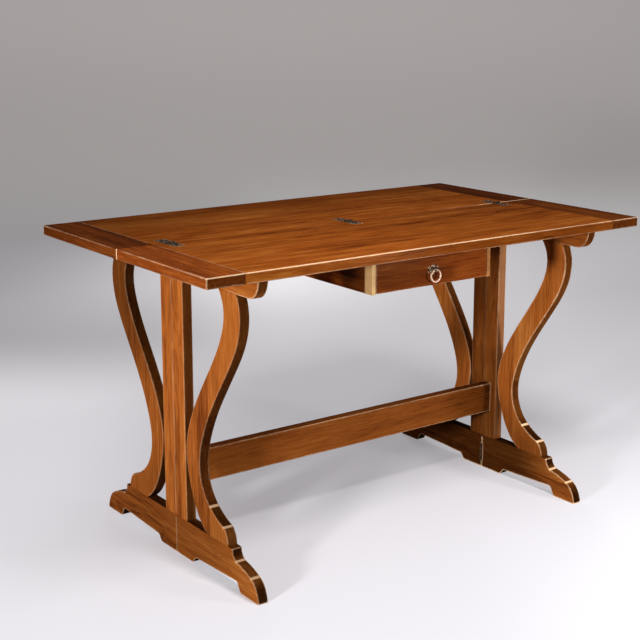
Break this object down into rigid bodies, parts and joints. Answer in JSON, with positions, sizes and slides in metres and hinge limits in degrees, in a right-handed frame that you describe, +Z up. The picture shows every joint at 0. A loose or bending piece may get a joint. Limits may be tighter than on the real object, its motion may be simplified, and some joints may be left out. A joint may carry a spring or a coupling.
{
  "type": "flip-top console table",
  "caption": "Trestle console table with a flip-over second leaf, swinging back gate legs, a stretcher and a shallow front drawer with a ring pull.",
  "frame": {"origin": "centre of the open table's outline, on the floor", "axes": "+X along the table to the right seen from the drawer side, -Y towards the drawer side, +Z up"},
  "size_m": [1.3, 0.78, 0.7655],
  "materials": {
    "top_panel_wood": "stained and varnished mid brown, satin, grain along the table",
    "cleat_wood": "stained and varnished red brown, satin, grain across the ends",
    "frame_wood": "stained and varnished orange brown, satin, with worn edges",
    "drawer_wood": "stained and varnished brown, satin, with worn edges",
    "plain_inner_wood": "plain unstained wood, matt",
    "bronze_top_hinges": "dark antique bronze, rubbed bright on the high spots",
    "dark_gate_hinges": "dark oiled metal",
    "brass_pull": "aged brass, rubbed pale on the ring",
    "steel_screws": "slotted screws, dulled"
  },
  "bodies": {
    "root": {"bearer_screws": "steel_screws", "case_back": "plain_inner_wood", "case_side_left": "drawer_wood", "case_side_right": "drawer_wood", "drawer_runner_left": "plain_inner_wood", "drawer_runner_right": "plain_inner_wood", "front_bearer_left": "frame_wood", "front_bearer_right": "frame_wood", "front_foot_left": "frame_wood", "front_foot_right": "frame_wood", "front_leaf_cleat_left": "cleat_wood", "front_leaf_cleat_right": "cleat_wood", "front_leaf_panel": "top_panel_wood", "front_leg_left": "frame_wood", "front_leg_right": "frame_wood", "front_post_left": "frame_wood", "front_post_right": "frame_wood", "gate_hinge_fixed_leaf_left_lower": "dark_gate_hinges", "gate_hinge_fixed_leaf_left_upper": "dark_gate_hinges", "gate_hinge_fixed_leaf_right_lower": "dark_gate_hinges", "gate_hinge_fixed_leaf_right_upper": "dark_gate_hinges", "gate_hinge_pins_left": "dark_gate_hinges", "gate_hinge_pins_right": "dark_gate_hinges", "gate_hinge_screws_fixed": "steel_screws", "stretcher": "frame_wood", "top_hinge_front_leaf_left": "bronze_top_hinges", "top_hinge_front_leaf_middle": "bronze_top_hinges", "top_hinge_front_leaf_right": "bronze_top_hinges", "top_hinge_pins": "bronze_top_hinges", "top_hinge_screws_front": "steel_screws"},
    "back_leaf": {"back_leaf_cleat_left": "cleat_wood", "back_leaf_cleat_right": "cleat_wood", "back_leaf_panel": "top_panel_wood", "top_hinge_back_leaf_left": "bronze_top_hinges", "top_hinge_back_leaf_middle": "bronze_top_hinges", "top_hinge_back_leaf_right": "bronze_top_hinges", "top_hinge_screws_back": "steel_screws"},
    "gate_left": {"back_bearer_left": "frame_wood", "back_foot_left": "frame_wood", "back_leg_left": "frame_wood", "back_post_left": "frame_wood", "gate_hinge_moving_leaf_left_lower": "dark_gate_hinges", "gate_hinge_moving_leaf_left_upper": "dark_gate_hinges", "gate_hinge_screws_moving_left": "steel_screws"},
    "gate_right": {"back_bearer_right": "frame_wood", "back_foot_right": "frame_wood", "back_leg_right": "frame_wood", "back_post_right": "frame_wood", "gate_hinge_moving_leaf_right_lower": "dark_gate_hinges", "gate_hinge_moving_leaf_right_upper": "dark_gate_hinges", "gate_hinge_screws_moving_right": "steel_screws"},
    "drawer": {"drawer_back": "plain_inner_wood", "drawer_bottom": "plain_inner_wood", "drawer_front": "drawer_wood", "drawer_side_left": "plain_inner_wood", "drawer_side_right": "plain_inner_wood", "pull_eye": "brass_pull", "pull_nut": "steel_screws", "pull_plate": "brass_pull"},
    "pull_ring": {"pull_ring": "brass_pull"}
  },
  "joints": [
    {"name": "leaf_flip", "type": "hinge", "parent": "root", "child": "back_leaf", "pos_m": [0, 0, 0.7625], "axis": [1, 0, 0], "range_deg": [0, 180]},
    {"name": "gate_left_swing", "type": "hinge", "parent": "root", "child": "gate_left", "pos_m": [-0.4835, 0, 0.35], "axis": [0, 0, -1], "range_deg": [0, 90]},
    {"name": "gate_right_swing", "type": "hinge", "parent": "root", "child": "gate_right", "pos_m": [0.4835, 0, 0.35], "axis": [0, 0, 1], "range_deg": [0, 90]},
    {"name": "drawer_slide", "type": "slide", "parent": "root", "child": "drawer", "axis": [0, -1, 0], "range_m": [0, 0.22]},
    {"name": "pull_swing", "type": "hinge", "parent": "drawer", "child": "pull_ring", "pos_m": [0, -0.3455, 0.694], "axis": [-1, 0, 0], "range_deg": [0, 85]}
  ]
}
